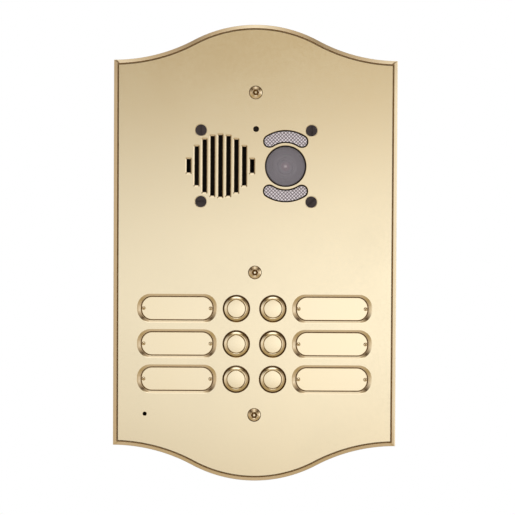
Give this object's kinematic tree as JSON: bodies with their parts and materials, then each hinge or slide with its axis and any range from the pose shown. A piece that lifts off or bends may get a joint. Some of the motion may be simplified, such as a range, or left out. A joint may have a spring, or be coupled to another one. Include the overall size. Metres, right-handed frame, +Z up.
{
  "type": "door intercom panel",
  "caption": "Flush-mounted door intercom panel: a crowned polished brass plate with a sound grille, camera window with lamp windows, call buttons beside blank nameplates, and a wall box behind.",
  "frame": {"origin": "centre of the front plate's outline, in the plane of the wall that the gasket rests on", "axes": "+Z up the wall, -Y out of the wall towards the visitor, +X to the visitor's right"},
  "size_m": [0.2, 0.0559, 0.3224],
  "materials": {
    "brass_plate": "polished, lacquered",
    "brass_trim": "polished",
    "galvanised_steel": "zinc plated",
    "spring_steel": "drawn wire",
    "rubber": "matt",
    "black_plastic": "fine texture",
    "grey_plastic": "satin",
    "black_steel": "black oxide",
    "plain_steel": "satin",
    "tinted_window": "smoked, polished",
    "lens_glass": "coated",
    "lamp_diffuser": "prismatic, milky",
    "circuit_board": "solder mask",
    "switch_plastic": "moulded",
    "trimmer_plastic": "moulded",
    "terminal_plastic": "moulded",
    "cable_jacket": "smooth"
  },
  "bodies": {
    "panel": {"front_plate": "brass_plate", "plate_screws": "brass_trim", "nameplate_1": "brass_trim", "nameplate_2": "brass_trim", "nameplate_3": "brass_trim", "nameplate_4": "brass_trim", "nameplate_5": "brass_trim", "nameplate_6": "brass_trim", "nameplate_screws": "brass_trim", "button_bezel_1": "brass_trim", "button_bezel_2": "brass_trim", "button_bezel_3": "brass_trim", "button_bezel_4": "brass_trim", "button_bezel_5": "brass_trim", "button_bezel_6": "brass_trim", "board_standoffs": "brass_trim", "back_box": "galvanised_steel", "screw_lugs": "galvanised_steel", "cap_nuts": "galvanised_steel", "board_screws": "galvanised_steel", "button_spring_1": "spring_steel", "button_spring_2": "spring_steel", "button_spring_3": "spring_steel", "button_spring_4": "spring_steel", "button_spring_5": "spring_steel", "button_spring_6": "spring_steel", "plate_gasket": "rubber", "microphone_boot": "rubber", "unit_housing": "black_plastic", "unit_cover": "black_plastic", "camera_shroud": "black_plastic", "light_sensor": "black_plastic", "speaker_cone": "grey_plastic", "unit_screws": "black_steel", "speaker_mesh": "black_steel", "speaker_frame": "plain_steel", "speaker_magnet": "plain_steel", "microphone": "plain_steel", "camera_window": "tinted_window", "lamp_diffuser_upper": "lamp_diffuser", "lamp_diffuser_lower": "lamp_diffuser", "switch_board": "circuit_board", "lamp_board": "circuit_board", "main_board": "circuit_board", "tact_switches": "switch_plastic", "trimmer_bases": "trimmer_plastic", "terminal_block": "terminal_plastic", "ribbon_cable": "cable_jacket", "microphone_lead": "cable_jacket"},
    "button_1": {"button_cap_1": "brass_trim"},
    "button_2": {"button_cap_2": "brass_trim"},
    "button_3": {"button_cap_3": "brass_trim"},
    "button_4": {"button_cap_4": "brass_trim"},
    "button_5": {"button_cap_5": "brass_trim"},
    "button_6": {"button_cap_6": "brass_trim"},
    "camera_frame": {"camera_yoke": "grey_plastic"},
    "camera_head": {"camera_body": "black_plastic", "camera_lens": "lens_glass"},
    "trimmer_1": {"volume_trimmer_1": "trimmer_plastic"},
    "trimmer_2": {"volume_trimmer_2": "trimmer_plastic"}
  },
  "joints": [
    {"name": "button_1_press", "type": "slide", "parent": "panel", "child": "button_1", "axis": [0, 1, 0], "range_m": [0, 0.0015], "stiffness_N_per_m": 400, "springref_m": -0.002, "deforming": ["button_spring_1"]},
    {"name": "button_2_press", "type": "slide", "parent": "panel", "child": "button_2", "axis": [0, 1, 0], "range_m": [0, 0.0015], "stiffness_N_per_m": 400, "springref_m": -0.002, "deforming": ["button_spring_2"]},
    {"name": "button_3_press", "type": "slide", "parent": "panel", "child": "button_3", "axis": [0, 1, 0], "range_m": [0, 0.0015], "stiffness_N_per_m": 400, "springref_m": -0.002, "deforming": ["button_spring_3"]},
    {"name": "button_4_press", "type": "slide", "parent": "panel", "child": "button_4", "axis": [0, 1, 0], "range_m": [0, 0.0015], "stiffness_N_per_m": 400, "springref_m": -0.002, "deforming": ["button_spring_4"]},
    {"name": "button_5_press", "type": "slide", "parent": "panel", "child": "button_5", "axis": [0, 1, 0], "range_m": [0, 0.0015], "stiffness_N_per_m": 400, "springref_m": -0.002, "deforming": ["button_spring_5"]},
    {"name": "button_6_press", "type": "slide", "parent": "panel", "child": "button_6", "axis": [0, 1, 0], "range_m": [0, 0.0015], "stiffness_N_per_m": 400, "springref_m": -0.002, "deforming": ["button_spring_6"]},
    {"name": "camera_pan", "type": "hinge", "parent": "panel", "child": "camera_frame", "pos_m": [0.0213, 0.014, 0.0617], "axis": [0, 0, 1], "range_deg": [-10, 10]},
    {"name": "camera_tilt", "type": "hinge", "parent": "camera_frame", "child": "camera_head", "pos_m": [0.0213, 0.014, 0.0617], "axis": [1, 0, 0], "range_deg": [-8, 8]},
    {"name": "volume_trimmer_1_turn", "type": "hinge", "parent": "panel", "child": "trimmer_1", "pos_m": [-0.02, 0.031, 0.075], "axis": [0, 1, 0], "range_deg": [-135, 135]},
    {"name": "volume_trimmer_2_turn", "type": "hinge", "parent": "panel", "child": "trimmer_2", "pos_m": [-0.008, 0.031, 0.075], "axis": [0, 1, 0], "range_deg": [-135, 135]}
  ]
}
